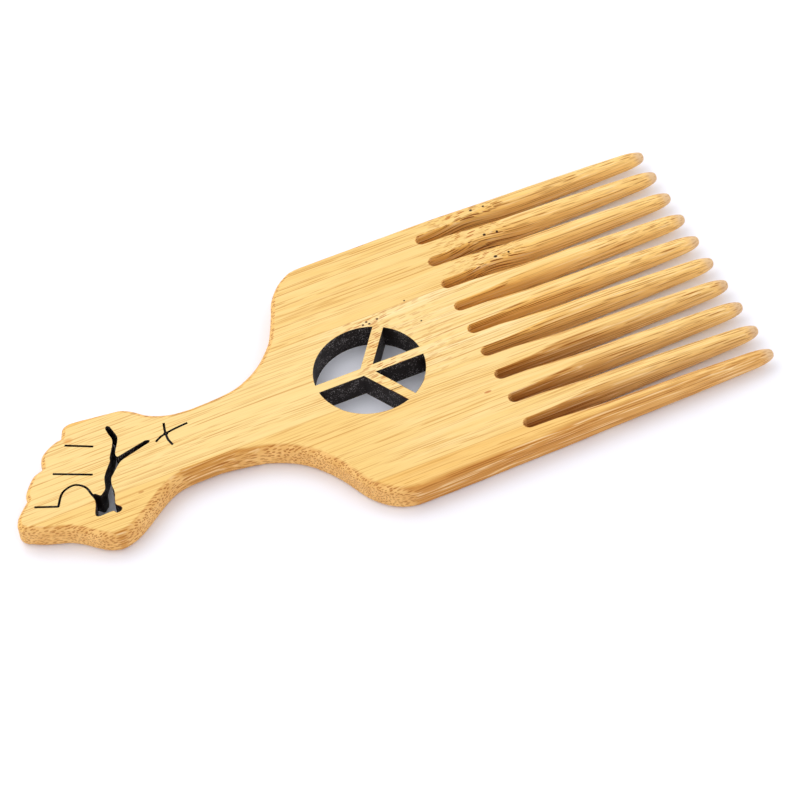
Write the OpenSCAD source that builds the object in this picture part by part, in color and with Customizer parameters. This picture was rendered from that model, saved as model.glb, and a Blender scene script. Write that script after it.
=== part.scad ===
// A wide-toothed bamboo hair pick: one board of edge-glued bamboo lamellas, sawn out with a
// clenched fist for a handle, pierced with a round peace sign, and shaped to ten long teeth.
// Millimetres. X runs from the fist to the tips of the teeth, Y across the lamellas and Z up.
// The origin is under the middle of the comb, on the surface that it lies on.

/* [Board] */
// Thickness of the board
board_t = 6; // [4:0.1:8]
// Width of the board at its widest
board_w = 71.1; // [66:0.1:80]
// How far the near side bows out past its last tooth
near_bow = 0.4; // [0:0.1:1]
// Rounding of the body's outer edges, top and bottom
edge_r = 1; // [0.6:0.1:1.6]
// Width of the softer rounding along the top of the near side
near_soft_w = 2.2; // [1.6:0.1:2.6]
// Length of the straight body between the shoulders and the roots of the gaps
body_l = 27.5; // [20:0.5:40]

/* [Teeth] */
// Length of a tooth, from the middle of the gap's round root to the tip
tooth_l = 56.5; // [35:0.5:70]
// Width of a gap at its root
gap_w = 2.7; // [2:0.1:3.4]
// Width of the first tooth, on the far side, at the root
first_tooth_w = 3.9; // [3.4:0.1:5]
// Width of the last tooth, on the near side, at the root
last_tooth_w = 4.4; // [3.4:0.1:5]
// How far out of the even row the last gap lies
last_gap_shift = 0.6; // [0:0.1:1]
// Width that a tooth would have at the tip without its point
tip_w = 3.1; // [2:0.1:3.8]
// Thickness that a tooth would have at the tip without its point
tip_t = 3.6; // [2:0.1:3.8]
// Length of the pointed end of a tooth
point_l = 5; // [4:0.5:12]
// How far the tip's middle lies below the middle of the board
tip_drop = 0.3; // [0:0.1:0.5]
// Rounding of a tooth's long edges once they are sanded
tooth_edge_r = 1.6; // [0.6:0.05:1.7]
// Rounding of those edges at the roots, where the sanding doesn't reach
root_edge_r = 0.2; // [0.1:0.05:0.5]

/* [Handle] */
// Length of the shoulders, from the straight sides to the narrowest place of the neck
shoulder_l = 37; // [28:0.5:48]
// Length of the fist and wrist, from the neck's narrowest place to the end
fist_l = 44.8; // [36:0.1:55]
// Width of the neck at its narrowest place
neck_w = 17.1; // [12:0.1:20]
// Width of the strip of the near lamella that runs along the neck
neck_strip_w = 1.3; // [0.8:0.05:4]
// How far the middle of the fist lies off the middle of the board, towards the far side
fist_off = 0.45; // [0:0.05:1]
// How far the first finger rises over the glue line on its side
finger_rise = 1.4; // [0.9:0.1:4]
// How far the heel of the hand reaches past the glue line on its side
heel_reach = 10.9; // [7:0.1:13]
// Rounding of the edges at the neck and the heel of the hand
handle_edge_r = 1.8; // [1:0.1:2.2]
// Rounding of the edges at the fingers
finger_edge_r = 1.2; // [0.6:0.1:1.4]

/* [Peace sign] */
// Wood between the round cut-out and the glue line on its far side
sign_rim_w = 2.15; // [1:0.05:5]
// Distance from the roots of the gaps to the middle of the sign
sign_back = 25.3; // [20:0.1:32]
// How far the sign lies off the middle of the board, towards the far side
sign_off = 0.1; // [0:0.1:1]
// Width of the sign's long bar
bar_w = 2.2; // [1.4:0.1:3.5]
// Width of the sign's two short legs
leg_w = 2.4; // [1.4:0.1:3.5]
// How far the legs spring from behind the middle of the circle, towards the fist
leg_back = 1; // [0:0.1:2]

/* [Carved lines] */
// How far the sides of the forked cut are burnt away beyond its outline
fork_burn_w = 0.15; // [0:0.05:0.3]
// Width of the lines between the fingers and across the wrist
line_w = 0.55; // [0.3:0.05:0.7]
// Depth of those lines
line_depth = 0.9; // [0.4:0.1:1.5]

/* [Hidden] */

// How far a cutting body runs past the face that it cuts
overrun = 1;
// How far a lamella's blank reaches past its glue lines before it is cut there, and how much of
// the rounded rim it keeps there
blank_reach = 5;
rim_reach = 2.5;
// Teeth to a full lamella; three such lamellas and a narrow one with one tooth make the board
teeth_per_lamella = 3;
teeth_n = 3 * teeth_per_lamella + 1;
// Where a glue line lies off the middle of its gap, as a share of the gap's width
glue_off_share = 0.3;
// Angles of the sign's legs from its bar
far_leg_angle = 55;
near_leg_angle = 60;

// How far the palm's edge reaches past the line that the hand's shares are counted from
palm_share = 0.01;
// Share of the fist's reach on its near side at which the cuts cross the glue line
cut_glue_share = 0.42;

// Where the sanding of a tooth's edges begins and where it is full, as shares of its length
sand_start_share = 0.05;
sand_full_share = 0.32;
// How late along its length a tooth gets narrower and thinner, and how blunt its point is
narrow_power = 1.3;
thin_power = 2.5;
point_power = 0.27;
// Distance of the last ring from the tip, as a share of the point, and the most of a tooth's
// half thickness that its rounding takes
last_ring_share = 0.008;
round_share = 0.94;

// Numbers of facets and steps
edge_steps = 3;
spline_steps = 3;
arc_steps = 8;
shaft_steps = 9;
point_steps = 6;
sign_steps = 96;
spot_steps = 16;
// Height over its base that a triangle of the flat faces has at first, and the least that is
// asked for as long as there are taller ones
ear_tall = 0.5;
ear_flat = 0.0001;

gaps_n = teeth_n - 1;
half_w = board_w / 2;
hand_l = (1 + palm_share) * fist_l;
comb_l = hand_l + shoulder_l + body_l + tooth_l;
end_x = -comb_l / 2;
hand_x = end_x + palm_share * fist_l;
neck_x = end_x + hand_l;
shoulder_x = neck_x + shoulder_l;
root_x = shoulder_x + body_l;
tip_x = root_x + tooth_l;

last_tooth_y = -half_w + near_bow;
pitch = (half_w - last_tooth_y - first_tooth_w - last_tooth_w - gap_w - last_gap_shift)
    / (gaps_n - 1);
first_gap_y = half_w - first_tooth_w - gap_w / 2;
lamella_w = teeth_per_lamella * pitch;
far_glue_y = first_gap_y - (teeth_per_lamella - 1) * pitch - glue_off_share * gap_w;
near_glue_y = far_glue_y - lamella_w;
edge_glue_y = near_glue_y - lamella_w;

// Sides of the neck, and the far and near reach of the fist
neck_near_y = near_glue_y - neck_strip_w;
neck_far_y = neck_near_y + neck_w;
fist_far_y = far_glue_y + finger_rise;
fist_near_y = near_glue_y - heel_reach;

// Radius of the peace sign
sign_r = far_glue_y - sign_rim_w - sign_off;

// Shoulders, from the straight side in to the neck: shares of shoulder_l back from the
// shoulder, and of the way from the neck's side out to the board's side
far_shoulder_shares = [[0, 1], [0.08, 0.99], [0.16, 0.927], [0.212, 0.86], [0.264, 0.763],
    [0.302, 0.64], [0.343, 0.513], [0.398, 0.365], [0.453, 0.27], [0.509, 0.19], [0.564, 0.13],
    [0.62, 0.084], [0.7, 0.036], [0.78, 0.015], [0.89, 0.003], [1, 0]];
near_shoulder_shares = [[0, 1], [0.068, 0.992], [0.148, 0.95], [0.223, 0.869], [0.287, 0.754],
    [0.334, 0.62], [0.384, 0.476], [0.479, 0.286], [0.585, 0.16], [0.72, 0.067],
    [0.86, 0.025], [0.94, 0.008], [1, 0]];

// Near side of the body: shares of body_l, and of the way in from the widest place
near_side_shares = [[0, 0], [0.25, 0.06], [0.5, 0.3], [0.75, 0.7], [1, 1]];

// Wrist: shares of fist_l from the end, and of the way from the neck's side out to the fist's
far_wrist_shares = [[1, 0], [0.922, 0.034], [0.873, 0.1], [0.828, 0.204], [0.786, 0.35],
    [0.741, 0.603], [0.694, 0.785]];
near_wrist_shares = [[0.501, 0.917], [0.568, 0.735], [0.637, 0.497], [0.706, 0.26],
    [0.777, 0.085], [0.85, 0.015], [0.94, 0], [1, 0]];

// Fingers and palm: shares of fist_l, and of the fist's reach on that side of its middle. Each
// row of points is one smooth bump, two bumps meet in a notch, and the last row runs from the
// little finger round the palm to its heel
first_finger_shares = [[0.647, 0.925], [0.536, 0.967], [0.467, 0.995], [0.422, 1],
    [0.388, 0.957], [0.373, 0.88], [0.358, 0.782]];
second_finger_shares = [[0.358, 0.782], [0.333, 0.776], [0.287, 0.718], [0.243, 0.625],
    [0.224, 0.53], [0.213, 0.385]];
third_finger_shares = [[0.213, 0.385], [0.186, 0.36], [0.153, 0.308], [0.11, 0.16],
    [0.089, 0.058], [0.084, -0.038]];
palm_shares = [[0.084, -0.038], [0.05, -0.117], [0.012, -0.217], [-0.003, -0.287],
    [-0.009, -0.338], [-0.006, -0.38], [0.004, -0.415], [0.019, -0.444], [0.038, -0.472],
    [0.065, -0.512], [0.1, -0.555], [0.15, -0.6], [0.205, -0.654], [0.257, -0.742],
    [0.304, -0.85], [0.35, -0.942], [0.398, -0.995], [0.442, -1]];

// Forked cut between the fingers and the thumb: the same shares, once round the cut
fork_shares = [[0.379, -0.324], [0.383, -0.446], [0.359, -0.594], [0.372, -0.632],
    [0.438, -0.627], [0.454, -0.674], [0.475, -0.658], [0.475, -0.621], [0.457, -0.563],
    [0.466, -0.472], [0.48, -0.383], [0.482, -0.276], [0.495, -0.176], [0.511, -0.133],
    [0.555, -0.022], [0.588, 0.032], [0.657, 0.088], [0.719, 0.138], [0.736, 0.152],
    [0.742, 0.175], [0.726, 0.193], [0.707, 0.181], [0.647, 0.142], [0.581, 0.098],
    [0.57, 0.092], [0.562, 0.13], [0.567, 0.2], [0.593, 0.333], [0.608, 0.436],
    [0.604, 0.54], [0.598, 0.64], [0.594, 0.665], [0.588, 0.679], [0.582, 0.665],
    [0.579, 0.64], [0.581, 0.54], [0.584, 0.391], [0.537, 0.134], [0.532, 0.077],
    [0.505, -0.022], [0.472, -0.138], [0.454, -0.287], [0.436, -0.34], [0.414, -0.372],
    [0.392, -0.319]];

// Carved lines: the same shares along each stroke
crease_shares = [
    [[0.361, 0.625], [0.486, 0.426]],
    [[0.25, 0.218], [0.424, -0.036]],
    [[0.102, -0.185], [0.21, -0.303]],
    [[0.207, -0.305], [0.243, -0.158], [0.277, -0.1], [0.319, -0.084], [0.35, -0.126],
        [0.37, -0.196], [0.377, -0.286], [0.383, -0.35]],
    [[0.77, 0.11], [0.801, 0.163], [0.832, 0.189], [0.879, 0.214], [0.951, 0.234]],
    [[0.846, 0.381], [0.835, 0.253], [0.83, 0.137], [0.83, 0.061], [0.839, -0.037]]];
cross_share = [0.832, 0.188];

// Places of the shares on the board. Those of the cuts are tied to the glue line as well, so that
// none of their corners crosses it
function fist_point(s) = [hand_x + s[0] * fist_l,
    fist_off + s[1] * (s[1] > 0 ? fist_far_y - fist_off : fist_off - fist_near_y)];
cut_reach = [[-1, fist_near_y], [-cut_glue_share, near_glue_y], [0, fist_off], [1, fist_far_y]];
function cut_point(s) = [hand_x + s[0] * fist_l, lookup(s[1], cut_reach)];
function side_point(s, x, l, inner, outer) = [x + s[0] * l, inner + s[1] * (outer - inner)];

// Smooth curve through points, without its last point
function blend(a, b, c, d, t) =
    (2 * b + (c - a) * t + (2 * a - 5 * b + 4 * c - d) * t * t
        + (3 * b - a - 3 * c + d) * t * t * t) / 2;
function spline(p) =
    [for (i = [0 : len(p) - 2]) for (k = [0 : spline_steps - 1])
        blend(p[max(i - 1, 0)], p[i], p[i + 1], p[min(i + 2, len(p) - 1)], k / spline_steps)];
function whole_spline(p) = concat(spline(p), [p[len(p) - 1]]);
function backwards(p) = [for (i = [len(p) - 1 : -1 : 0]) p[i]];

// Stretch of the outline: places along the smooth curve, the rounding of the edges there and
// the width of the rounding at the top
function stretch(p, r_from, r_to, w_from = 0, w_to = 0) =
    let (s = spline(p), n = len(s))
    [for (i = [0 : n - 1]) let (t = i / n, r = r_from + (r_to - r_from) * t)
        [s[i][0], s[i][1], r, max(r, w_from + (w_to - w_from) * t)]];
function fist_stretch(shares, r_from, r_to) =
    stretch([for (s = shares) fist_point(s)], r_from, r_to);

far_shoulder = [for (s = far_shoulder_shares)
    side_point(s, shoulder_x, -shoulder_l, neck_far_y, half_w)];
near_shoulder = [for (s = near_shoulder_shares)
    side_point(s, shoulder_x, -shoulder_l, neck_near_y, -half_w)];
near_side = [for (s = near_side_shares)
    side_point(s, shoulder_x, body_l, -half_w, last_tooth_y)];
far_wrist = [for (s = far_wrist_shares) side_point(s, hand_x, fist_l, neck_far_y, fist_far_y)];
near_wrist = [for (s = near_wrist_shares)
    side_point(s, hand_x, fist_l, neck_near_y, fist_near_y)];

// Outline of the comb without its teeth, anticlockwise from the far corner at their roots
far_outline = concat(
    stretch(far_shoulder, edge_r, handle_edge_r),
    stretch(concat(far_wrist, [fist_point(first_finger_shares[0])]),
        handle_edge_r, finger_edge_r),
    fist_stretch(first_finger_shares, finger_edge_r, finger_edge_r),
    fist_stretch(second_finger_shares, finger_edge_r, finger_edge_r),
    fist_stretch(third_finger_shares, finger_edge_r, finger_edge_r));
near_outline = concat(
    stretch(concat([for (s = palm_shares) fist_point(s)], near_wrist),
        finger_edge_r, handle_edge_r),
    stretch(backwards(near_shoulder), handle_edge_r, edge_r, handle_edge_r, near_soft_w),
    stretch(near_side, edge_r, edge_r, near_soft_w, near_soft_w));
outline = concat([[root_x, half_w]], far_outline, near_outline, [[root_x, last_tooth_y]]);

// A rim point says how a lamella ends at one place of its outline: place, way into the wood,
// rounding of the edges, width of the rounding at the top, height of the wood's middle and half
// of its thickness
function rim(x, y, way, r, top_w, z = board_t / 2, half = board_t / 2) =
    [x, y, way, r, top_w, z, half];

// Unit vector into the wood at a point of the outline
function inward(i) = let (d = outline[i + 1] - outline[i - 1]) [-d[1], d[0]] / norm([d[0], d[1]]);
rims = [for (i = [1 : len(outline) - 2])
    rim(outline[i][0], outline[i][1], inward(i), outline[i][2], outline[i][3])];
far_rims = [for (i = [0 : len(far_outline) - 1]) rims[i]];

// Middle of a gap, counted from the far side, and the sides of a tooth at its root
function gap_y(k) = first_gap_y - k * pitch - (k == gaps_n - 1 ? last_gap_shift : 0);
function tooth_far_y(k) = k == 0 ? half_w : gap_y(k - 1) - gap_w / 2;
function tooth_near_y(k) = k == gaps_n ? last_tooth_y : gap_y(k) + gap_w / 2;

// Share of the full size that is left at a distance from the tip: 1 behind the point
function point_share(d) = d >= point_l ? 1 : pow(1 - pow(1 - d / point_l, 2), point_power);

// Smooth step from 0 to 1
function ease(t) = let (c = min(max(t, 0), 1)) c * c * (3 - 2 * c);

// Distances from the tip at which a tooth is measured out
stations = concat(
    [for (k = [0 : shaft_steps - 1]) tooth_l - k * (tooth_l - point_l) / shaft_steps],
    [for (k = [0 : point_steps]) point_l * max(pow(1 - k / point_steps, 2), last_ring_share)]);

// Rim point of a tooth at a distance from its tip, on its far side (1) or its near side (-1)
function tooth_rim(k, d, side) =
    let (
        far_y = tooth_far_y(k),
        near_y = tooth_near_y(k),
        root_w = far_y - near_y,
        outer = side > 0 ? k == 0 : k == gaps_n,
        s = 1 - d / tooth_l,
        thin = pow(s, thin_power),
        w = root_w - (root_w - min(tip_w, root_w)) * pow(s, narrow_power),
        t = board_t - (board_t - tip_t) * thin,
        half_tooth = w / 2 * point_share(d),
        half_thick = t / 2 * point_share(d),
        start_r = outer ? edge_r : root_edge_r,
        sanded = ease((s - sand_start_share) / (sand_full_share - sand_start_share)),
        r = start_r + (tooth_edge_r - start_r) * sanded,
        soft = outer && side < 0 ? (near_soft_w - edge_r) * (1 - s) : 0)
    rim(tip_x - d, (far_y + near_y) / 2 + side * half_tooth, [0, -side],
        min(r, round_share * half_tooth, round_share * half_thick),
        min(r + soft, round_share * half_tooth),
        board_t / 2 - tip_drop * thin, half_thick);

// Rim of a tooth from its near root round the tip to its far root
function tooth_rims(k) = concat(
    [for (d = stations) tooth_rim(k, d, -1)],
    [for (i = [len(stations) - 1 : -1 : 0]) tooth_rim(k, stations[i], 1)]);

// Rim of a gap's round root, without its ends, from the near side to the far side
function root_rims(k) = [for (i = [1 : arc_steps - 1]) let (a = 270 - 180 * i / arc_steps)
    rim(root_x + gap_w / 2 * cos(a), gap_y(k) + gap_w / 2 * sin(a), [cos(a), sin(a)],
        root_edge_r, root_edge_r)];

// Plain corner of a blank, which is cut off at the glue line
function corner(x, y) = rim(x, y, [0, 0], edge_r, edge_r);

// Blank of a lamella: rim points along its stretch of the outline, then its teeth, numbers
// from the near one to the far one, and corners past the glue lines, where it has them
module blank(run, near_k, far_k) {
    low_y = gap_y(near_k) - glue_off_share * gap_w - blank_reach;
    high_y = gap_y(far_k - 1) - glue_off_share * gap_w + blank_reach;
    below = near_k == gaps_n ? [] : concat(
        [corner(run[len(run) - 1][0], low_y), corner(root_x, low_y),
            rim(root_x, gap_y(near_k) - gap_w / 2, [0, -1], root_edge_r, root_edge_r)],
        root_rims(near_k));
    teeth = [for (k = [near_k : -1 : far_k])
        each concat(tooth_rims(k), k == far_k ? [] : root_rims(k - 1))];
    above = far_k == 0 ? [] : concat(
        root_rims(far_k - 1),
        [rim(root_x, gap_y(far_k - 1) + gap_w / 2, [0, 1], root_edge_r, root_edge_r),
            corner(root_x, high_y), corner(run[0][0], high_y)]);
    first = len(run) + len(below);
    tooth_and_root_n = 2 * len(stations) + arc_steps - 1;
    skin(concat(run, below, teeth, above),
        [for (k = [0 : near_k - far_k]) first + k * tooth_and_root_n]);
}

// Height of ring j of a rim point, from the lowest ring to the highest, and its place inwards
rings_n = 2 * edge_steps + 2;
function ring_point(v, j) =
    let (
        high = j > edge_steps,
        a = 90 * (high ? rings_n - 1 - j : j) / edge_steps,
        inset = (high ? v[4] : v[3]) * (1 - sin(a)),
        rise = v[6] - v[3] * (1 - cos(a)))
    [v[0] + inset * v[2][0], v[1] + inset * v[2][1], v[5] + (high ? rise : -rise)];

// Twice the area of a triangle in plan: above zero where it runs anticlockwise
function turn(a, b, c) = (b[0] - a[0]) * (c[1] - a[1]) - (b[1] - a[1]) * (c[0] - a[0]);
function holds(a, b, c, p) = turn(a, b, p) >= 0 && turn(b, c, p) >= 0 && turn(c, a, p) >= 0;

// Triangles that fill a loop, given as numbers of points. One corner after the other is cut
// off, if its triangle holds no other point of the loop. It must be tall enough for its base,
// too, and only after a round in vain is a lower one let through
function triangles(p, loop, k = 0, vain = 0, tall = ear_tall, done = []) =
    len(loop) == 3 ? concat(done, [loop]) :
    let (
        n = len(loop),
        a = loop[k % n],
        b = loop[(k + 1) % n],
        c = loop[(k + 2) % n],
        base = [p[c][0] - p[a][0], p[c][1] - p[a][1]],
        free = turn(p[a], p[b], p[c]) > tall * base * base
            && len([for (i = loop) if (i != a && i != b && i != c
                && holds(p[a], p[b], p[c], p[i])) i]) == 0)
    free ? triangles(p, [for (i = loop) if (i != b) i], k % n + 1, 0, tall,
            concat(done, [[a, b, c]]))
        : vain < n ? triangles(p, loop, k % n + 1, vain + 1, tall, done)
        : triangles(p, loop, k % n + 1, 0, tall > ear_flat ? tall / 2 : 0, done);

// Closed skin over a loop of rim points with rounded edges. Each tooth starts at one of the
// numbers in starts, and its two sides are joined across its top and its bottom
module skin(loop, starts) {
    n = len(loop);
    m = len(stations);
    top = (rings_n - 1) * n;
    flat = [for (i = [0 : n - 1])
        if (len([for (s = starts) if (i > s && i < s + 2 * m - 1) i]) == 0) i];
    fill = triangles([for (v = loop) ring_point(v, 0)], flat);
    polyhedron(
        points = [for (j = [0 : rings_n - 1]) for (v = loop) ring_point(v, j)],
        faces = concat(
            fill,
            [for (f = fill) [top + f[2], top + f[1], top + f[0]]],
            [for (s = starts) for (i = [0 : m - 2])
                let (a = s + i, b = s + 2 * m - 1 - i)
                each [[a, a + 1, b], [b, a + 1, b - 1],
                    [top + a, top + b, top + a + 1], [top + b, top + b - 1, top + a + 1]]],
            [for (j = [0 : rings_n - 2]) for (i = [0 : n - 1])
                let (a = j * n + i, b = j * n + (i + 1) % n)
                each [[a, a + n, b], [b, a + n, b + n]]]),
        convexity = 10);
}

// Slab between two lines along the comb
module band(low_y, high_y) {
    translate([end_x - overrun, low_y, -overrun])
        cube([comb_l + 2 * overrun, high_y - low_y, board_t + 2 * overrun]);
}

// Parts of a disc on the two sides of the bar and the legs: what the peace sign leaves open
module sign_cut() {
    translate([root_x - sign_back, sign_off, -overrun])
        linear_extrude(height = board_t + 2 * overrun)
            difference() {
                circle(r = sign_r, $fn = sign_steps);
                square([2 * sign_r + overrun, bar_w], center = true);
                for (a = [far_leg_angle, -near_leg_angle])
                    translate([-leg_back, 0])
                        rotate(a)
                            translate([0, -leg_w / 2])
                                square([sign_r + leg_back + overrun, leg_w]);
            }
}

// Forked cut right through the fist
module fork_cut() {
    curve = spline([for (s = concat(fork_shares, [fork_shares[0]])) cut_point(s)]);
    translate([0, 0, -overrun])
        linear_extrude(height = board_t + 2 * overrun)
            offset(delta = fork_burn_w)
                polygon(curve);
}

// Line of even width along points
function stroke(p, w) =
    let (
        n = len(p),
        way = [for (i = [0 : n - 1])
            let (d = p[min(i + 1, n - 1)] - p[max(i - 1, 0)]) [-d[1], d[0]] / norm(d)])
    concat(
        [for (i = [0 : n - 1]) p[i] + way[i] * w / 2],
        [for (i = [n - 1 : -1 : 0]) p[i] - way[i] * w / 2]);

// Lines carved into the top of the fist, and the spot burnt where two of them cross
module crease_cuts() {
    translate([0, 0, board_t - line_depth])
        linear_extrude(height = line_depth + overrun)
            translate(cut_point(cross_share))
                circle(r = line_w, $fn = spot_steps);
    for (line = crease_shares)
        translate([0, 0, board_t - line_depth])
            linear_extrude(height = line_depth + overrun)
                polygon(stroke(whole_spline([for (s = line) cut_point(s)]), line_w));
}

// Middle lamella: the whole spine of the comb, from the fingers to the tips of three teeth
module middle_lamella() {
    run = [for (v = rims)
        if (v[1] < far_glue_y + rim_reach && (v[0] < neck_x || v[1] > near_glue_y - rim_reach)) v];
    color([0.98, 0.84, 0.57])
        intersection() {
            difference() {
                blank(run, 2 * teeth_per_lamella - 1, teeth_per_lamella);
                sign_cut();
                fork_cut();
                crease_cuts();
            }
            band(near_glue_y, far_glue_y);
        }
}

// Lamella on the far side of the body, with its three teeth
module far_lamella() {
    run = [for (v = far_rims) if (v[0] > neck_x && v[1] > far_glue_y - rim_reach) v];
    color([0.93, 0.76, 0.46])
        intersection() {
            blank(run, teeth_per_lamella - 1, 0);
            band(far_glue_y, half_w + overrun);
        }
}

// Lamella on the near side: the heel of the hand, a narrow strip along the neck, and the body
// with three teeth
module near_lamella() {
    run = [for (v = rims)
        if (v[1] < near_glue_y + rim_reach && v[1] > edge_glue_y - rim_reach) v];
    color([0.95, 0.79, 0.50])
        intersection() {
            difference() {
                blank(run, 3 * teeth_per_lamella - 1, 2 * teeth_per_lamella);
                sign_cut();
                fork_cut();
            }
            band(edge_glue_y, near_glue_y);
        }
}

// Narrow outermost lamella, with the last tooth
module edge_lamella() {
    run = [for (v = rims) if (v[1] < edge_glue_y + rim_reach) v];
    color([0.88, 0.68, 0.36])
        intersection() {
            blank(run, gaps_n, 3 * teeth_per_lamella);
            band(-half_w - overrun, edge_glue_y);
        }
}

// Sliver of the far lamella that was left on top of the first finger
module finger_top() {
    run = [for (v = far_rims) if (v[0] < neck_x && v[1] > far_glue_y - rim_reach) v];
    low_y = far_glue_y - blank_reach;
    color([0.93, 0.76, 0.46])
        intersection() {
            skin(concat(run, [corner(run[len(run) - 1][0], low_y), corner(run[0][0], low_y)]),
                []);
            band(far_glue_y, fist_far_y + overrun);
        }
}

middle_lamella();
far_lamella();
near_lamella();
edge_lamella();
finger_top();
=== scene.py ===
"""A bamboo hair pick with a fist for a handle, dressed and lit for the camera.

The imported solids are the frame: every lamella is rebuilt on its solid with clean, smooth
faces, burnt walls where it was pierced and carved, and bamboo that is grained in three
dimensions, so that top, sides and end grain agree. Lengths in the classes are millimetres.
"""

from __future__ import annotations

import logging
import math
from dataclasses import dataclass, field
from enum import Enum

import bmesh
import bpy
from mathutils import Matrix, Vector


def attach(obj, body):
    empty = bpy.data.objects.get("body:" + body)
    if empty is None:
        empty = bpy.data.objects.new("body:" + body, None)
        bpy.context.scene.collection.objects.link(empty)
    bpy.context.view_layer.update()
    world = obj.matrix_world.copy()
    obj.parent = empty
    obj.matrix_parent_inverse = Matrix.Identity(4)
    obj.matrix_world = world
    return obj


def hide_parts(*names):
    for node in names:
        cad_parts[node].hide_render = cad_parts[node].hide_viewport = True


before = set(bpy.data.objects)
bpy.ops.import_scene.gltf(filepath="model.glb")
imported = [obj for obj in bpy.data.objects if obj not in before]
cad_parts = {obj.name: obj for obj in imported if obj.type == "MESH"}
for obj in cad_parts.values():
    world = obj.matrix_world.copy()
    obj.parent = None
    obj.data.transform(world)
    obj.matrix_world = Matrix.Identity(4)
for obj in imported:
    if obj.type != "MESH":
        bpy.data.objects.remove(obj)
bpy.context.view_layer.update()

LOG = logging.getLogger("pick")
MM = 0.001
Colour = tuple[float, float, float]


def linear(red: int, green: int, blue: int) -> Colour:
    """Turn a screen colour into the linear one that shaders work with.

    Args:
        red: red from 0 to 255.
        green: green from 0 to 255.
        blue: blue from 0 to 255.

    Returns:
        The linear colour.
    """
    return tuple(
        c / 12.92 if c <= 0.04045 else ((c + 0.055) / 1.055) ** 2.4
        for c in (red / 255, green / 255, blue / 255)
    )


class Socket:
    """A shader output that Python's operators turn into Math nodes."""

    def __init__(self, graph: Graph, out: bpy.types.NodeSocket) -> None:
        """Keep the output and the graph that it belongs to."""
        self.graph = graph
        self.out = out

    def __add__(self, other: Value) -> Socket:
        """Add a value."""
        return self.graph.math("ADD", self, other)

    def __radd__(self, other: Value) -> Socket:
        """Be added to a value."""
        return self.graph.math("ADD", other, self)

    def __sub__(self, other: Value) -> Socket:
        """Take a value away."""
        return self.graph.math("SUBTRACT", self, other)

    def __rsub__(self, other: Value) -> Socket:
        """Be taken away from a value."""
        return self.graph.math("SUBTRACT", other, self)

    def __mul__(self, other: Value) -> Socket:
        """Multiply by a value."""
        return self.graph.math("MULTIPLY", self, other)

    def __rmul__(self, other: Value) -> Socket:
        """Multiply a value."""
        return self.graph.math("MULTIPLY", other, self)

    def __truediv__(self, other: Value) -> Socket:
        """Divide by a value."""
        return self.graph.math("DIVIDE", self, other)

    def __pow__(self, other: Value) -> Socket:
        """Raise to a power."""
        return self.graph.math("POWER", self, other)

    def __abs__(self) -> Socket:
        """Drop the sign."""
        return self.graph.math("ABSOLUTE", self)


Value = Socket | float


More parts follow.
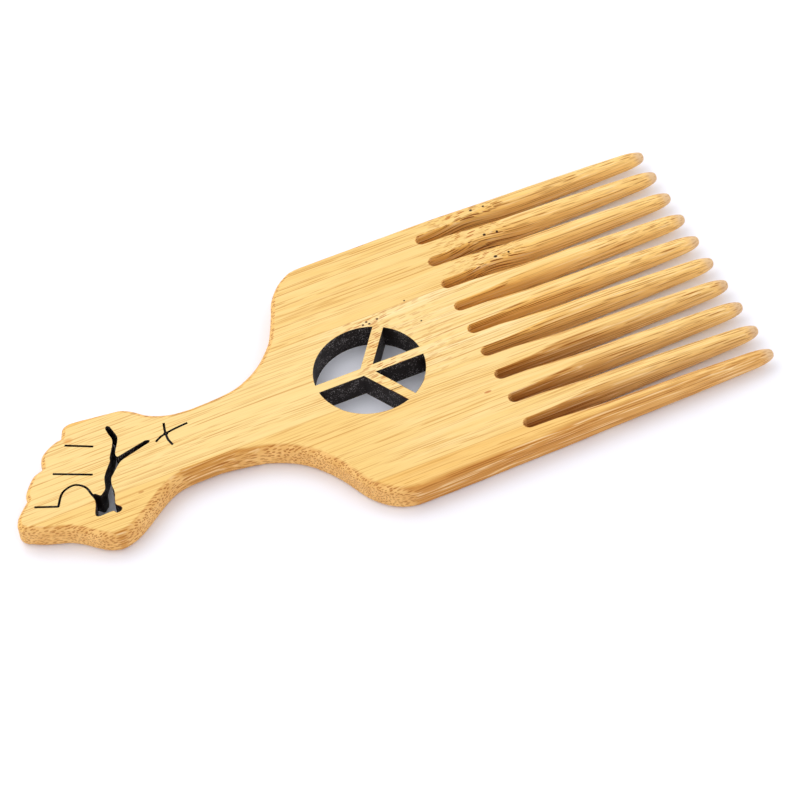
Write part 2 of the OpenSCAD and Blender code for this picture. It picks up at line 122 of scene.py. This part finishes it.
class Graph:
    """The node tree of one material, or of the sky."""

    def __init__(self, name: str, sky: bool = False) -> None:
        """Start a material or a sky with an empty tree.

        Args:
            name: name of the material or sky.
            sky: True for a sky.
        """
        self.owner = (bpy.data.worlds if sky else bpy.data.materials).new(name)
        self.owner.use_nodes = True
        self.tree = self.owner.node_tree
        self.tree.nodes.clear()

    def node(self, kind: str, settings: dict | None = None, **inputs: object) -> bpy.types.Node:
        """Add a node.

        Args:
            kind: the node's type, without the leading ShaderNode.
            settings: attributes that are set before the sockets.
            inputs: socket values or links; i0 is the first socket, and other keys are socket
                names with underscores for spaces.

        Returns:
            The new node.
        """
        made = self.tree.nodes.new("ShaderNode" + kind)
        for key, value in (settings or {}).items():
            setattr(made, key, value)
        for key, value in inputs.items():
            numbered = key[0] == "i" and key[1:].isdigit()
            socket = made.inputs[int(key[1:]) if numbered else key.replace("_", " ")]
            if isinstance(value, Socket):
                self.tree.links.new(value.out, socket)
            else:
                socket.default_value = value
        return made

    def out(self, made: bpy.types.Node, key: str | int = 0) -> Socket:
        """Wrap one output of a node."""
        return Socket(self, made.outputs[key])

    def math(self, operation: str, *values: Value) -> Socket:
        """Add a Math node.

        Args:
            operation: Blender's name of the operation.
            values: one to three sockets or numbers.

        Returns:
            The result.
        """
        inputs = {f"i{i}": v for i, v in enumerate(values)}
        return self.out(self.node("Math", {"operation": operation}, **inputs))

    def step(self, value: Value, low: float, high: float) -> Socket:
        """Rise smoothly from 0 at low to 1 at high, or fall where high is the smaller.

        Args:
            value: what is compared.
            low: where the result is 0.
            high: where the result is 1.

        Returns:
            The result, from 0 to 1.
        """
        settings = {"interpolation_type": "SMOOTHSTEP"}
        if low <= high:
            made = self.node("MapRange", settings, i0=value, i1=low, i2=high, i3=0.0, i4=1.0)
        else:
            made = self.node("MapRange", settings, i0=value, i1=high, i2=low, i3=1.0, i4=0.0)
        return self.out(made)

    def vector(self, x: Value, y: Value, z: Value) -> Socket:
        """Join three values to a vector."""
        return self.out(self.node("CombineXYZ", None, i0=x, i1=y, i2=z))

    def noise(self, at: Socket, detail: float = 2.0, roughness: float = 0.5) -> Socket:
        """Smooth noise around 0.5, with cells about one unit wide.

        Args:
            at: place in the noise.
            detail: number of finer layers.
            roughness: weight of the finer layers.

        Returns:
            The noise, mostly from 0.3 to 0.7.
        """
        made = self.node(
            "TexNoise", None, Vector=at, Scale=1.0, Detail=detail, Roughness=roughness
        )
        return self.out(made, 0)

    def cells(self, at: Socket, randomness: float = 1.0,
              reach: str = "3D") -> tuple[Socket, Socket]:
        """Scattered cells one unit apart.

        Args:
            at: place in the pattern.
            randomness: how irregular the cells lie.
            reach: "3D" for round cells, or "2D" for endless rods that run through x and y.

        Returns:
            Distance from the nearest cell's middle, and a number from 0 to 1 for each cell.
        """
        settings = {"voronoi_dimensions": reach}
        made = self.node("TexVoronoi", settings, Vector=at, Scale=1.0, Randomness=randomness)
        part = self.node("SeparateColor", None, i0=self.out(made, "Color"))
        return self.out(made, "Distance"), self.out(part)

    def mix(self, share: Value, first: Socket | Colour, second: Socket | Colour,
            blend: str = "MIX") -> Socket:
        """Mix two colours.

        Args:
            share: how much of the second colour shows.
            first: the colour at 0.
            second: the colour at 1.
            blend: Blender's name of the way to mix.

        Returns:
            The mixed colour.
        """
        made = self.tree.nodes.new("ShaderNodeMix")
        made.data_type = "RGBA"
        made.blend_type = blend
        for socket, value in ((made.inputs[0], share), (made.inputs[6], first),
                              (made.inputs[7], second)):
            if isinstance(value, Socket):
                self.tree.links.new(value.out, socket)
            elif isinstance(value, tuple):
                socket.default_value = (*value, 1.0)
            else:
                socket.default_value = value
        return Socket(self, made.outputs[2])

    def place(self) -> tuple[Socket, Socket, Socket]:
        """Find the place on the object.

        Returns:
            The place as x, y and z, in millimetres.
        """
        coordinates = self.node("TexCoord")
        part = self.node("SeparateXYZ", None, i0=self.out(coordinates, "Object"))
        return tuple(self.out(part, i) * (1 / MM) for i in range(3))

    def facing(self) -> tuple[Socket, Socket, Socket]:
        """Find how far the surface faces along each axis.

        Returns:
            The shares along x, y and z, without sign.
        """
        geometry = self.node("NewGeometry")
        part = self.node("SeparateXYZ", None, i0=self.out(geometry, "Normal"))
        return tuple(abs(self.out(part, i)) for i in range(3))

    def surface(self, colour: Socket, roughness: Value, height: Socket | None,
                relief: float, **constants: float) -> bpy.types.Material:
        """Close the tree with a Principled shader.

        Args:
            colour: base colour.
            roughness: roughness.
            height: relief in millimetres, or None for a flat surface.
            relief: strength of the relief.
            constants: other sockets of the shader, set to plain numbers.

        Returns:
            The finished material.
        """
        shader = self.node("BsdfPrincipled", None, Base_Color=colour, Roughness=roughness,
                           **constants)
        if height is not None:
            bump = self.node("Bump", None, Strength=relief, Distance=MM, Height=height)
            self.tree.links.new(bump.outputs[0], shader.inputs["Normal"])
        end = self.tree.nodes.new("ShaderNodeOutputMaterial")
        self.tree.links.new(shader.outputs[0], end.inputs[0])
        return self.owner


@dataclass(frozen=True)
class Knot:
    """One of the culm's joints, where the fibres swerve and darken."""

    x: float
    width: float
    swerve: float
    strength: float


@dataclass(frozen=True)
class Pit:
    """A small pit or stain in the top face."""

    x: float
    y: float
    long: float = 0.27
    wide: float = 0.24
    tone: Colour = linear(60, 28, 5)
    depth: float = 1.0
    edge: float = 0.6


@dataclass(frozen=True)
class Bamboo:
    """Sanded bamboo of one lamella, grained in three dimensions along x."""

    name: str
    slot: str
    seed: float
    pale: Colour
    warm: Colour
    streak: Colour = linear(194, 132, 52)
    brown: Colour = linear(180, 102, 28)
    side: Colour = linear(244, 192, 102)
    # pale streak colour on the sides: partly pith in the grain, partly painted sheen
    pith_and_sheen: Colour = linear(255, 228, 176)
    side_streak: Colour = linear(158, 94, 26)
    tooth_top: Colour = linear(255, 216, 140)
    tooth_side_painted_light: Colour = linear(255, 216, 138)
    # lighter side colour of the teeth toward the tips: painted light for sides that are less
    # shaded than near the roots
    umber: Colour = linear(126, 64, 14)
    end: Colour = linear(232, 184, 112)
    dot: Colour = linear(160, 92, 28)
    tip: Colour = linear(214, 184, 150)
    board: float = 6.0
    older: float = 0.0
    wrist: tuple[float, float] = (10.0, -12.0)
    teeth: tuple[float, float] = (30.0, 62.0)
    points: tuple[float, float] = (79.0, 82.0)
    rod: tuple[float, float] = (0.47, 0.45)
    hair: tuple[float, float] = (0.55, 0.5)
    seam: tuple[float, float] = (0.16, 0.02)
    knots: tuple[Knot, ...] = ()
    pits: tuple[Pit, ...] = ()
    glue: tuple[float, ...] = ()

    def wavy(self, g: Graph, x: Socket, y: Socket, z: Socket) -> tuple[Socket, Socket, Socket]:
        """Bend the fibres a little.

        Args:
            g: the material's graph.
            x: place along the comb.
            y: place across the lamellas.
            z: height.

        Returns:
            The bent y and z, and how much of a culm's joint is near, from 0 to 1.
        """
        s = self.seed
        sway = g.noise(g.vector(x / 70 + s, y / 18, z / 18), 1.0) - 0.5
        lift = g.noise(g.vector(x / 75, y / 6 + s, z / 9), 1.0) - 0.5
        bent_y = y + sway * 2.2
        bent_z = z + lift * 3.0
        near = x * 0.0
        for knot in self.knots:
            wander = (g.noise(g.vector(y / 3 + s, z / 6, 0.0), 1.0) - 0.5) * 6.0
            off = (x + wander - knot.x) / knot.width
            bump = g.math("EXPONENT", off * off * -1.0)
            bent_z = bent_z - bump * knot.swerve
            bent_y = bent_y + bump * sway * knot.swerve
            near = bump * knot.strength + near
        return bent_y, bent_z, near

    def grain(self, g: Graph, x: Socket, bent_y: Socket, bent_z: Socket) -> dict[str, Socket]:
        """Work out the fibres.

        Args:
            g: the material's graph.
            x: place along the comb.
            bent_y: place across the fibres.
            bent_z: height among the fibres.

        Returns:
            Fields from 0 to 1: rods of the bundles as lines and as dots, pale pith and hairs
            between them (the pale pith also carries a painted sheen on the sides), fine fibres,
            soft bands and short dashes.
        """
        s = self.seed
        rod, rod_id = g.cells(
            g.vector(bent_y / self.rod[0] + s, bent_z / self.rod[1], 0.0), 1.0, "2D")
        hair, hair_id = g.cells(
            g.vector(bent_y / self.hair[0] - s, bent_z / self.hair[1], 0.0), 1.0, "2D")
        breaks = g.noise(g.vector(x / 9 + s, bent_y / 0.5, bent_z / 0.5), 1.0)
        fine = g.noise(g.vector(x / 9 + s, bent_y / 0.13, bent_z / 0.15), 1.0)
        band = g.noise(g.vector(x / 90 + s, bent_y / 1.9, bent_z / 2.4), 4.0, 0.7)
        cloud = g.noise(g.vector(x / 7 - s, bent_y / 1.6, bent_z / 1.6), 1.0)
        slant = bent_y - x * 0.12
        dash, dash_id = g.cells(g.vector(x / 2.9 + s, slant / 0.46, bent_z / 0.8))
        whole = g.step(breaks, 0.36, 0.5)
        return {
            "lines": g.step(rod, 0.34, 0.26) * (rod_id * 0.8 + 0.2) * whole,
            "pale": g.step(rod, 0.5, 0.62) * g.step(breaks, 0.42, 0.6),
            "dots": g.step(rod, 0.38, 0.24) * (rod_id * 0.4 + 0.5),
            "hairs": g.step(hair, 0.28, 0.2) * hair_id * g.step(breaks, 0.66, 0.5),
            "fine": g.step(fine, 0.3, 0.7),
            "band": g.step(band + cloud * 0.25, 0.47, 0.77),
            "dash": g.step(dash, 0.42, 0.3) * g.step(dash_id, 0.1, 0.35),
        }

    def stained(self, g: Graph, colour: Socket, x: Socket, y: Socket, z: Socket) -> Socket:
        """Put the pits and stains on the top face.

        Args:
            g: the material's graph.
            colour: the bamboo's colour.
            x: place along the comb.
            y: place across the lamellas.
            z: height.

        Returns:
            The colour with the pits in it.
        """
        high = g.step(z, 0.8 * self.board, 0.9 * self.board)
        for pit in self.pits:
            off = ((x - pit.x) / pit.long) ** 2.0 + ((y - pit.y) / pit.wide) ** 2.0
            colour = g.mix(g.step(off, 1.6, pit.edge) * high * pit.depth, colour, pit.tone)
        return colour

    def material(self) -> bpy.types.Material:
        """Build the material.

        Returns:
            The bamboo.
        """
        g = Graph(self.name)
        x, y, z = g.place()
        end_on, side_on, _ = g.facing()
        bent_y, bent_z, near = self.wavy(g, x, y, z)
        grain = self.grain(g, x, bent_y, bent_z)

        fine = grain["fine"]
        knotty = g.math("MINIMUM", near, 1.0)
        outer = g.step(x, *self.teeth)
        older = g.step(x, *self.wrist) * self.older
        top = g.mix(grain["band"] * (0.7 - older) + older, self.pale, self.warm)
        top = g.mix(outer * 0.7, top, self.tooth_top)
        thin = fine * (outer * 0.2 + 0.14) + grain["hairs"] * (outer * 0.3 + 0.4)
        top = g.mix(thin, top, self.streak)
        top = g.mix(grain["lines"] * 0.78, top, self.streak)
        top = g.mix(grain["dash"] * knotty * 0.95, top, self.brown)

        marks = grain["lines"] * (0.95 - outer * 0.3) + grain["hairs"] * 0.6 + fine * 0.25
        marks = marks + knotty * (grain["hairs"] + grain["lines"]) * 0.8
        # toward the tips the sides take a lighter colour: painted light, standing in for the
        # shade that deepens between the teeth near their roots
        plain = g.mix(outer * 0.75, self.side, self.tooth_side_painted_light)
        # pale pith lines on the sides, partly grain and partly painted sheen
        plain = g.mix(grain["pale"] * 0.6, plain, self.pith_and_sheen)
        ink = g.mix(knotty * 0.9, self.side_streak, self.umber)
        side = g.mix(g.math("MINIMUM", marks, 1.0), plain, ink)
        end = g.mix(grain["band"] * 0.5, self.end, self.side)
        point = g.step(x, *self.points)
        end = g.mix(point * 0.7, end, self.tip)
        end = g.mix(grain["dots"] * (1 - point * 0.6), end, self.dot)

        # the side and end colours start at the first slope of the rounded rims, which darkens the
        # rims as painted shade on top of the side and end grain
        colour = g.mix(g.step(side_on, 0.03, 0.4), top, side)
        sawn = g.step(end_on, 0.04, 0.28)
        colour = g.mix(sawn, colour, end)
        for line in self.glue:
            colour = g.mix(g.step(abs(y - line), *self.seam) * 0.4, colour, self.streak)
        colour = self.stained(g, colour, x, y, z)

        height = fine * 0.012 - grain["dots"] * sawn * 0.02
        roughness = 0.46 + fine * 0.1
        return g.surface(colour, roughness, height, 0.5, IOR=1.3)


@dataclass(frozen=True)
class Char:
    """Wood burnt black where the saw or the laser went through."""

    name: str = "burnt_wall"
    black: Colour = linear(20, 12, 9)
    soot: Colour = linear(36, 26, 23)
    # colour of the grey flecks: partly ash in the char, partly painted glints
    ash_and_glint: Colour = linear(168, 162, 162)
    grain: float = 0.26

    def material(self) -> bpy.types.Material:
        """Build the material.

        Returns:
            The burnt wood.
        """
        g = Graph(self.name)
        x, y, z = g.place()
        grit, grit_id = g.cells(g.vector(x / self.grain, y / self.grain, z / self.grain))
        patch = g.noise(g.vector(x / 3.5, y / 3.5, z / 2.5), 2.0)
        # grey flecks on the burnt walls: partly ash in the char, partly painted glints
        fleck_and_glint = g.step(grit, 0.55, 0.2) * g.step(grit_id + patch * 2.2, 1.7, 2.1)
        colour = g.mix(fleck_and_glint * 0.9, g.mix(patch, self.black, self.soot), self.ash_and_glint)
        return g.surface(colour, 0.55 + fleck_and_glint * 0.2, grit * -0.1, 0.7, IOR=1.35)


@dataclass(frozen=True)
class Scorch:
    """The brown line that the heat left along the top edge of a burnt wall."""

    name: str = "scorched_edge"
    dark: Colour = linear(52, 24, 8)
    light: Colour = linear(120, 66, 24)
    patch: float = 1.2

    def material(self) -> bpy.types.Material:
        """Build the material.

        Returns:
            The scorched edge.
        """
        g = Graph(self.name)
        x, y, z = g.place()
        patch = g.noise(g.vector(x / self.patch, y / self.patch, z / self.patch), 2.0)
        colour = g.mix(g.step(patch, 0.35, 0.65), self.dark, self.light)
        return g.surface(colour, 0.6 + patch * 0.1, patch * 0.02, 0.3, IOR=1.3)


class Part(Enum):
    """The comb's lamellas, by the names of their solids."""

    MIDDLE = "middle_lamella"
    FAR = "far_lamella"
    NEAR = "near_lamella"
    EDGE = "edge_lamella"
    FINGER = "finger_top"


@dataclass
class Cuts:
    """Where the board is pierced and carved."""

    sign_x: float = 1.324
    sign_y: float = 0.1
    sign_reach: float = 12.6
    fork_boxes: tuple[tuple[float, float, float, float], ...] = (
        (-68.3, -13.5, -60.4, 12.3), (-60.4, -3.8, -54.5, 12.3),
        (-54.5, -3.8, -47.9, 7.0))
    carved_z: float = 5.1
    margin: float = 0.05
    level: float = 0.99

    def burnt(self, middle: Vector, facing: Vector, low: float) -> bool:
        """Tell whether a face is a burnt wall.

        Args:
            middle: the face's middle.
            facing: the face's normal.
            low: height of its lowest corner.

        Returns:
            True for walls of the sign and the fork, and for the carved lines.
        """
        if abs(middle.z - self.carved_z) < self.margin and facing.z > self.level:
            return True
        if abs(facing.z) > self.margin:
            return False
        if low > self.carved_z - self.margin:
            return True
        if math.hypot(middle.x - self.sign_x, middle.y - self.sign_y) < self.sign_reach:
            return True
        return any(a < middle.x < c and b < middle.y < d for a, b, c, d in self.fork_boxes)


@dataclass
class Lamella:
    """One strip of bamboo, dressed on its solid."""

    part: Part
    finish: Bamboo
    wall: bpy.types.Material
    rim: bpy.types.Material
    cuts: Cuts = field(default_factory=Cuts)
    flat_angle: float = math.radians(0.3)
    sharp_angle: float = math.radians(50)
    rim_w: float = 0.12 * MM
    rim_z: float = 5.9 * MM
    weld: float = 2e-6
    level: float = 0.9

    def rimmed(self, edge: bmesh.types.BMEdge) -> bool:
        """Tell whether an edge lies between the top face and a burnt wall through the board.

        Args:
            edge: an edge of the lamella.

        Returns:
            True where the heat of the cut scorched the edge.
        """
        if len(edge.link_faces) != 2 or min(v.co.z for v in edge.verts) < self.rim_z:
            return False
        wall, top = sorted(edge.link_faces, key=lambda f: f.normal.z)
        deep = min(v.co.z for v in wall.verts) / MM < self.cuts.carved_z - self.cuts.margin
        return wall.material_index == 1 and deep and top.normal.z > self.level

    def mesh(self) -> bpy.types.Mesh:
        """Copy the solid's mesh with clean faces, sharp edges and burnt walls.

        Returns:
            The mesh of the piece.
        """
        b = bmesh.new()
        b.from_mesh(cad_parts[self.part.value].data)
        bmesh.ops.remove_doubles(b, verts=b.verts, dist=self.weld)
        bmesh.ops.dissolve_limit(b, angle_limit=self.flat_angle, verts=b.verts, edges=b.edges)
        b.normal_update()
        for face in b.faces:
            face.smooth = True
            middle = face.calc_center_median() / MM
            low = min(v.co.z for v in face.verts) / MM
            face.material_index = int(self.cuts.burnt(middle, face.normal, low))
        rims = [e for e in b.edges if self.rimmed(e)]
        bmesh.ops.bevel(b, geom=rims, offset=self.rim_w, offset_type="OFFSET", segments=1,
                        profile=0.5, affect="EDGES", clamp_overlap=True, material=2)
        for edge in b.edges:
            edge.smooth = len(edge.link_faces) == 2 and (
                edge.calc_face_angle(0.0) < self.sharp_angle)
        mesh = bpy.data.meshes.new(self.part.value + "_dressed")
        b.to_mesh(mesh)
        b.free()
        return mesh

    def build(self) -> bpy.types.Object:
        """Make the piece and let it stand for its solid.

        Returns:
            The piece.
        """
        mesh = self.mesh()
        mesh.materials.append(self.finish.material())
        mesh.materials.append(self.wall)
        mesh.materials.append(self.rim)
        piece = bpy.data.objects.new(mesh.name, mesh)
        bpy.context.collection.objects.link(piece)
        normals = piece.modifiers.new("normals", "WEIGHTED_NORMAL")
        normals.keep_sharp = True
        normals.weight = 100
        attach(piece, "root")
        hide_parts(self.part.value)
        LOG.info("%s: %d faces", piece.name, len(mesh.polygons))
        return piece


@dataclass
class Comb:
    """The whole pick."""

    far_glue: float = 14.715
    near_glue: float = -7.4475
    edge_glue: float = -29.61
    far_knots: tuple[Knot, ...] = (Knot(38.0, 6.5, 1.5, 1.1),)
    far_pits: tuple[Pit, ...] = (
        Pit(40.1, 33.5, 0.34, 0.3), Pit(43.1, 33.4), Pit(39.9, 25.3, 0.34, 0.3),
        Pit(42.9, 25.1), Pit(39.5, 18.1, 0.42, 0.3), Pit(42.7, 18.1), Pit(16.0, 15.2, 0.2, 0.2))
    middle_knots: tuple[Knot, ...] = (Knot(5.0, 5.5, 0.6, 0.9), Knot(16.0, 6.0, 0.2, 0.35))
    middle_pits: tuple[Pit, ...] = (
        Pit(5.0, 12.7), Pit(6.0, 13.2), Pit(6.4, 12.4), Pit(8.5, 12.95), Pit(17.1, 8.0, 0.2, 0.2),
        Pit(-65.4, 11.1, 1.1, 0.8, linear(212, 138, 58), 0.6, -0.2))
    near_pits: tuple[Pit, ...] = (
        Pit(22.0, -17.5, 0.8, 0.26, linear(188, 108, 44), 0.8),
        Pit(-55.9, -9.5, 0.6, 0.3, linear(188, 128, 62), 0.7))

    def finishes(self) -> dict[Part, Bamboo]:
        """Choose a piece of bamboo for each lamella.

        Returns:
            The finishes by part.
        """
        pale, warm = linear(245, 221, 164), linear(236, 200, 122)
        return {
            Part.MIDDLE: Bamboo(
                "bamboo_middle", "bamboo_middle", 3.1, pale, warm, older=0.55,
                knots=self.middle_knots, pits=self.middle_pits,
                glue=(self.near_glue, self.far_glue)),
            Part.FAR: Bamboo(
                "bamboo_far", "bamboo_far", 11.7, linear(240, 207, 137), linear(233, 193, 113),
                knots=self.far_knots, pits=self.far_pits, glue=(self.far_glue,)),
            Part.NEAR: Bamboo(
                "bamboo_near", "bamboo_near", 23.4, linear(241, 209, 142), linear(235, 197, 118),
                side=linear(204, 146, 70), older=0.85, pits=self.near_pits,
                glue=(self.edge_glue, self.near_glue)),
            Part.EDGE: Bamboo(
                "bamboo_edge", "bamboo_edge", 37.9, linear(238, 196, 118),
                linear(228, 180, 96), side=linear(204, 144, 70),
                tooth_top=linear(248, 208, 132), tooth_side_painted_light=linear(228, 176, 102),
                glue=(self.edge_glue,)),
            Part.FINGER: Bamboo(
                "bamboo_finger", "bamboo_finger", 11.7, linear(240, 202, 126),
                linear(231, 184, 98), glue=(self.far_glue,)),
        }

    def build(self) -> None:
        """Build all five lamellas."""
        wall, rim = Char().material(), Scorch().material()
        for part, finish in self.finishes().items():
            Lamella(part, finish, wall, rim).build()


@dataclass
class Studio:
    """Floor, soft lights and the camera."""

    floor_size: float = 3.0
    camera_at: tuple[float, float, float] = (-0.150956, -0.51287, 0.62746)
    camera_turn: tuple[float, float, float] = (2.3854, -0.5196, 0.0758)
    lens: float = 168.41
    sensor: float = 36.0
    near_clip: float = 0.01
    floor_drop: float = 0.00005
    floor_light: Colour = (0.905, 0.918, 1.0)
    floor_shade: Colour = (0.89, 0.903, 0.985)
    sky: float = 1.165
    zenith: float = 0.2
    ceiling: tuple[float, float] = (0.86, 0.97)
    key_at: tuple[float, float, float] = (-0.3, 0.5, 0.95)
    key_size: float = 1.0
    key_watts: float = 3.9

    def floor(self) -> None:
        """Lay a plain white floor under the comb."""
        g = Graph("floor_white")
        x, y, _ = g.place()
        tone = g.noise(g.vector(x / 300, y / 300, 0.0), 1.0)
        colour = g.mix(tone * 0.04, self.floor_light, self.floor_shade)
        material = g.surface(colour, 0.6, None, 0.0)
        half = self.floor_size / 2
        mesh = bpy.data.meshes.new("floor")
        mesh.from_pydata([(-half, -half, 0), (half, -half, 0), (half, half, 0), (-half, half, 0)],
                         [], [(0, 1, 2, 3)])
        mesh.materials.append(material)
        floor = bpy.data.objects.new("floor", mesh)
        floor.location.z = -self.floor_drop
        bpy.context.collection.objects.link(floor)

    def light(self, name: str, at: Vector, size: float, watts: float) -> None:
        """Hang a square soft light that points at the comb.

        Args:
            name: the light's name.
            at: its place.
            size: its side.
            watts: its power.
        """
        data = bpy.data.lights.new(name, "AREA")
        data.size = size
        data.energy = watts
        lamp = bpy.data.objects.new(name, data)
        lamp.location = at
        lamp.rotation_mode = "QUATERNION"
        lamp.rotation_quaternion = (-at).to_track_quat("-Z", "Y")
        bpy.context.collection.objects.link(lamp)

    def heaven(self) -> None:
        """Surround the comb with white walls, darker at the ceiling than at eye height."""
        g = Graph("sky", sky=True)
        part = g.node("SeparateXYZ", None, i0=g.out(g.node("TexCoord"), "Generated"))
        ceiling = g.step(g.out(part, 2), *self.ceiling)
        colour = g.mix(ceiling, (1.0, 1.0, 1.0), (self.zenith, self.zenith, self.zenith))
        back = g.node("Background", None, Color=colour, Strength=self.sky)
        end = g.node("OutputWorld")
        g.tree.links.new(back.outputs[0], end.inputs[0])
        bpy.context.scene.world = g.owner

    def camera(self) -> None:
        """Set the camera at the photograph's place, with its long lens."""
        axis = Vector(self.camera_turn)
        turn = Matrix.Rotation(axis.length, 3, axis.normalized())
        right, down, ahead = turn[0], turn[1], turn[2]
        data = bpy.data.cameras.new("camera")
        data.lens = self.lens
        data.sensor_width = self.sensor
        data.clip_start = self.near_clip
        camera = bpy.data.objects.new("camera", data)
        pose = Matrix((right, -down, -ahead)).transposed().to_4x4()
        pose.translation = Vector(self.camera_at)
        camera.matrix_world = pose
        bpy.context.collection.objects.link(camera)
        bpy.context.scene.camera = camera

    def build(self) -> None:
        """Set up floor, lights, sky and camera."""
        self.floor()
        self.light("key", Vector(self.key_at), self.key_size, self.key_watts)
        self.heaven()
        bpy.context.scene.view_settings.view_transform = "Standard"
        self.camera()


def main() -> None:
    """Build the studio and the comb."""
    logging.basicConfig(level=logging.INFO, format="%(name)s: %(message)s")
    Studio().build()
    Comb().build()


if __name__ == "__main__":
    main()
